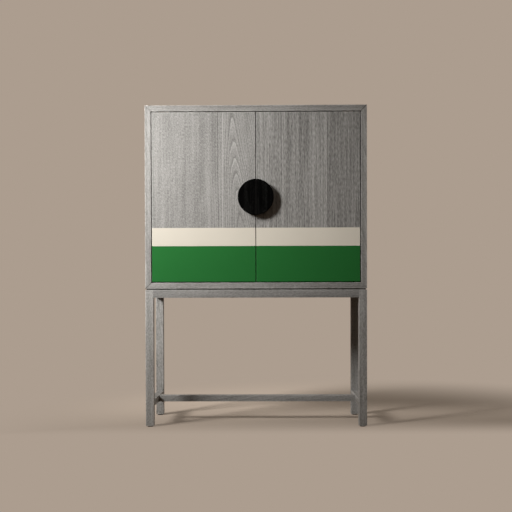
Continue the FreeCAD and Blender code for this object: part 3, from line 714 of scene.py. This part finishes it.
def satin_lacquer(node, colour, roughness, light_gradient):
    """Makes a CAD node a band sprayed with satin lacquer, with a painted highlight along the upright
    arrises and painted light that makes it paler by a share of its colour for each metre to the right."""
    material, tree, place = empty_material(node + "_lacquer")
    low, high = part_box(node)
    worn = arris_mask(tree, place, low - band_reach, high + band_reach)
    mottle = noise(tree, place, mottle_scale, detail=3.0)
    peel = noise(tree, place, peel_scale, detail=1.0)
    paint = blend(tree, mottle, at_level(colour, mottle_shade), colour)
    # Painted light: paler for each metre to the right.
    sideways = parts_of(tree, place)[0]
    light_scale = maths(tree, "MULTIPLY_ADD", sideways, light_gradient, 1.0)
    paint = add_node(tree, "VectorMath", {0: paint, "Scale": light_scale}, operation="SCALE").outputs[0]
    # Painted highlight along the upright arrises.
    arris_highlight = maths(tree, "MULTIPLY", worn, lacquer_highlight_share)
    paint = blend(tree, arris_highlight, paint, lacquer_highlight_colour)
    smoothest = roughness - mottle_dullness / 2
    dullness = maths(tree, "MULTIPLY_ADD", mottle, mottle_dullness, smoothest)
    bump = add_node(tree, "Bump", peel_relief | {"Height": peel})
    surface = {"Base Color": paint, "Roughness": dullness, "Normal": bump.outputs[0]}
    coat(tree, surface | {"Specular IOR Level": lacquer_gloss})
    dress(material, node)


for side in ("left", "right"):
    satin_lacquer(side + "_cream_band", lacquer_cream, cream_roughness, cream_light_gradient)
    satin_lacquer(side + "_green_band", lacquer_green, green_roughness, green_light_gradient)

# Handle: two halves of a turned oak disc, stained black, with the grain upright.
# Fingers go behind its rim; a paler line along the seam is wear and a painted highlight.
stain_black = srgb(1, 1, 1)
stain_thin = srgb(18, 18, 17)
stain_worn_and_highlight = srgb(20, 19, 18)
stain_start = 0.4
stain_end = 0.9
stain_gloss = 0.02
seam_wear_and_highlight_width = 0.0055
handle_grain = board_oak | {"Streaks": 1.2, "Pith Depth": 0.2}
black_oak, tree, place = empty_material("black_oak")
grain = add_node(tree, "Group", {"Vector": place} | handle_grain, node_tree=oak_grain).outputs
streaks = soft_step(tree, grain["Tone"], stain_start, stain_end)
# The seam line is wear and a painted highlight on the halves' rounded edges.
from_seam = maths(tree, "ABSOLUTE", parts_of(tree, place)[0])
rubbed = soft_step(tree, from_seam, seam_wear_and_highlight_width, 0.0)
stain = blend(tree, rubbed, blend(tree, streaks, stain_black, stain_thin), stain_worn_and_highlight)
bump = add_node(tree, "Bump", oak_relief | {"Height": grain["Relief"]})
dullness = maths(tree, "MULTIPLY_ADD", grain["Pores"], pore_dullness, oak_roughness)
surface = {"Base Color": stain, "Roughness": dullness, "Normal": bump.outputs[0]}
coat(tree, surface | {"Specular IOR Level": stain_gloss})
dress(black_oak, "left_handle_half", "right_handle_half")

# Handle spacers and screws: black coated steel tubes that hold each half off its door, and
# pan-headed screws that go in from the door's inner face, through the spacers, into the halves.
coat_black = srgb(26, 26, 26)
coated = brushed_metal("black_coat", coat_black, roughness=0.5, metallic=0.0)
dress(coated, "left_handle_spacers", "right_handle_spacers")
handle_screw = {"shank": 0.0025, "pitch": 0.0018, "head_height": 0.003}
for side in ("left", "right"):
    name = side + "_handle_threaded_screws"
    node = side + "_handle_screws"
    turned_screws(name, node, Y_AXIS, handle_screw, steel, side + "_door")

# Hinges: brass plates let into the carcase and into the ends of the doors, with a pin that turns on
# a nylon washer. Countersunk brass screws hold each plate, flush with its face.
brass_yellow = srgb(196, 160, 92)
brass = brushed_metal("brass", brass_yellow, roughness=0.35)
plate_screw = {"shank": 0.0016, "pitch": 0.0012, "head_height": 0.0002, "countersunk": True}
for side in ("left", "right"):
    for level in ("upper", "lower"):
        dress(brass, f"{side}_{level}_pivot_plate", f"{side}_{level}_hinge_plate")
    name = side + "_hinge_threaded_screws"
    node = side + "_hinge_screws"
    turned_screws(name, node, Z_AXIS, plate_screw, brass, side + "_door")
node = "pivot_plate_screws"
turned_screws("pivot_plate_threaded_screws", node, Z_AXIS, plate_screw, brass, "cabinet")
dress(nylon, "pivot_washers")

# Door catches: a nylon housing under the top panel for each door, and a steel strike disc on the
# door. Two steel poles, one above the other, stand out of the housing's face at the strike's height.
dress(nylon, "door_catches")
dress(steel, "left_strike_plate", "right_strike_plate")
pole_width = 0.02
pole_thickness = 0.0024
pole_depth = 0.006
pole_spacing = 0.0064
pole_proud = 0.0002
pole_rounding = 0.2
pole_rings = 12
pole_steps = 32


def squared(wave):
    """Sines or cosines raised to a small power, which brings them close to 1 and -1."""
    return np.sign(wave) * np.abs(wave) ** pole_rounding


def rounded_bars(centres, half):
    """Bars with rounded edges round each centre. Each coordinate is the bar's half size times a
    cosine or sine of two angles, and a small power of them squares the bar but keeps its edges round."""
    rise = np.linspace(-np.pi / 2, np.pi / 2, pole_rings + 2)[1:-1, None]
    turn = np.linspace(0, 2 * np.pi, pole_steps, endpoint=False)
    x = squared(np.cos(rise)) * squared(np.cos(turn))
    y = squared(np.cos(rise)) * squared(np.sin(turn))
    z = squared(np.sin(rise)) + 0 * turn
    rings = np.stack((x, y, z), axis=-1)
    poles = np.array(((0, 0, -1), (0, 0, 1)))
    points, faces = closed_rings(rings, poles)
    many = points * half + np.array(centres)[:, None]
    return many.reshape(-1, 3), repeated(faces, len(points), len(centres))


housing_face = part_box("door_catches")[0].y
pole_centres = []
for side in ("left", "right"):
    strike_low, strike_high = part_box(side + "_strike_plate")
    middle = (strike_low + strike_high) / 2
    for step in (-0.5, 0.5):
        level = middle.z + step * pole_spacing
        pole_centres.append((middle.x, housing_face - pole_proud + pole_depth / 2, level))
pole_half = np.array((pole_width, pole_depth, pole_thickness)) / 2
poles = new_piece("door_catch_poles", *rounded_bars(pole_centres, pole_half), steel)
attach(poles, "cabinet")

# Fold-out shelf: an oak leaf that turns on steel pins in two black brackets inside the right door.
# An oak rail stops it level, nylon bushes line its pivot holes, and magnets hold it when it is up.
# The shelf and its rail also take the paler inner level, painted light for the shaded inside.
oak_board("fold_out_shelf", "sideways", shift=(5.7, 0.0, 0.0), level=inner_painted_light_level)
oak_board("shelf_stop_rail", "sideways", shift=(6.1, 0.2, 3.0), level=inner_painted_light_level)
dress(coated, "shelf_inner_bracket", "shelf_outer_bracket")
dress(steel, "shelf_pivot_pins", "shelf_catch_plates")
nickel_grey = srgb(190, 186, 178)
nickel = brushed_metal("nickel", nickel_grey, roughness=0.25)
dress(nickel, "shelf_catch_magnets")
dress(nylon, "shelf_bushes")
node = "shelf_support_screws"
turned_screws("shelf_support_threaded_screws", node, Y_AXIS, plate_screw, steel, "right_door")

# Studio: a plain pale floor that fades into the pale backdrop round the cabinet's shadow, one soft
# key from the front left, and a fill from low behind and from overhead.
scene = bpy.context.scene
scene.view_settings.view_transform = "Standard"
backdrop = srgb(172, 157, 143)
floor_seen = srgb(178, 163, 148)
floor_bounced = srgb(128, 106, 84)
floor_half = 20.0
shadow_middle = (0.5, 0.1, 0.0)
floor_fade_start = 0.6
floor_fade_end = 1.9
floor_front_start = 0.05
floor_front_end = -0.42
floor_glow_share = 0.08
floor_mesh = bpy.data.meshes.new("floor")
floor_corners = [(-floor_half, -floor_half, 0), (floor_half, -floor_half, 0)]
floor_corners += [(floor_half, floor_half, 0), (-floor_half, floor_half, 0)]
floor_mesh.from_pydata(floor_corners, [], [(0, 1, 2, 3)])
floor = bpy.data.objects.new("floor", floor_mesh)
scene.collection.objects.link(floor)


def seen_rays(tree):
    """1 for the rays that show a background: from the camera, in gloss and through glass."""
    path = add_node(tree, "LightPath").outputs
    shown = maths(tree, "MAXIMUM", path["Is Camera Ray"], path["Is Transmission Ray"])
    return maths(tree, "MAXIMUM", shown, path["Is Glossy Ray"])


floor_paint, tree, place = empty_material("floor")
ends = {0: place, 1: shadow_middle}
away = add_node(tree, "VectorMath", ends, operation="DISTANCE").outputs["Value"]
far_share = soft_step(tree, away, floor_fade_start, floor_fade_end)
forward = parts_of(tree, place)[1]
front_share = soft_step(tree, forward, floor_front_start, floor_front_end)
even_share = maths(tree, "MAXIMUM", far_share, front_share)
fade = maths(tree, "MULTIPLY_ADD", even_share, 1 - floor_glow_share, floor_glow_share)
shown = seen_rays(tree)
fade_seen = maths(tree, "MULTIPLY", fade, shown)
near = add_node(tree, "BsdfDiffuse", {"Color": blend(tree, shown, floor_bounced, floor_seen)})
far = add_node(tree, "Emission", {"Color": backdrop, "Strength": 1.0})
seen = add_node(tree, "MixShader", {0: fade_seen, 1: near.outputs[0], 2: far.outputs[0]})
add_node(tree, "OutputMaterial", {"Surface": seen.outputs[0]})
floor_mesh.materials.append(floor_paint)

fill_front = 0.05
fill_back = 1.5
fill_top = 0.5
fill_turn = 0.35
behind_start = -0.1
behind_full = 0.6
low_end = 0.7
low_full = 0.1
overhead_start = 0.75
overhead_full = 0.95
fill_colour = (1.0, 0.94, 0.88, 1.0)
world = bpy.data.worlds.new("studio")
scene.world = world
world.use_nodes = True
tree = world.node_tree
tree.nodes.clear()
way = parts_of(tree, add_node(tree, "TexCoord").outputs["Generated"])
from_right = maths(tree, "MULTIPLY_ADD", way[0], fill_turn, way[1])
behind = soft_step(tree, from_right, behind_start, behind_full)
low = soft_step(tree, way[2], low_end, low_full)
overhead = soft_step(tree, way[2], overhead_start, overhead_full)
low_behind = maths(tree, "MULTIPLY", behind, low)
strength = weighted_sum(tree, fill_front, (low_behind, fill_back), (overhead, fill_top))
fill = add_node(tree, "Background", {"Color": fill_colour, "Strength": strength})
sky = add_node(tree, "Background", {"Color": backdrop, "Strength": 1.0})
mixed = add_node(tree, "MixShader", {0: seen_rays(tree), 1: fill.outputs[0], 2: sky.outputs[0]})
add_node(tree, "OutputWorld", {"Surface": mixed.outputs[0]})

key_place = Vector((-2.6, -1.93, 2.46))
key_aim = Vector((-1.187, -0.18, 1.523))
key_size = 1.1
key_power = 36.8
key_spread = 50
key_data = bpy.data.lights.new("key", "AREA")
key_data.size = key_size
key_data.energy = key_power
key_data.spread = math.radians(key_spread)
key = bpy.data.objects.new("key", key_data)
key.location = key_place
key.rotation_euler = (key_aim - key_place).to_track_quat("-Z", "Y").to_euler()
scene.collection.objects.link(key)
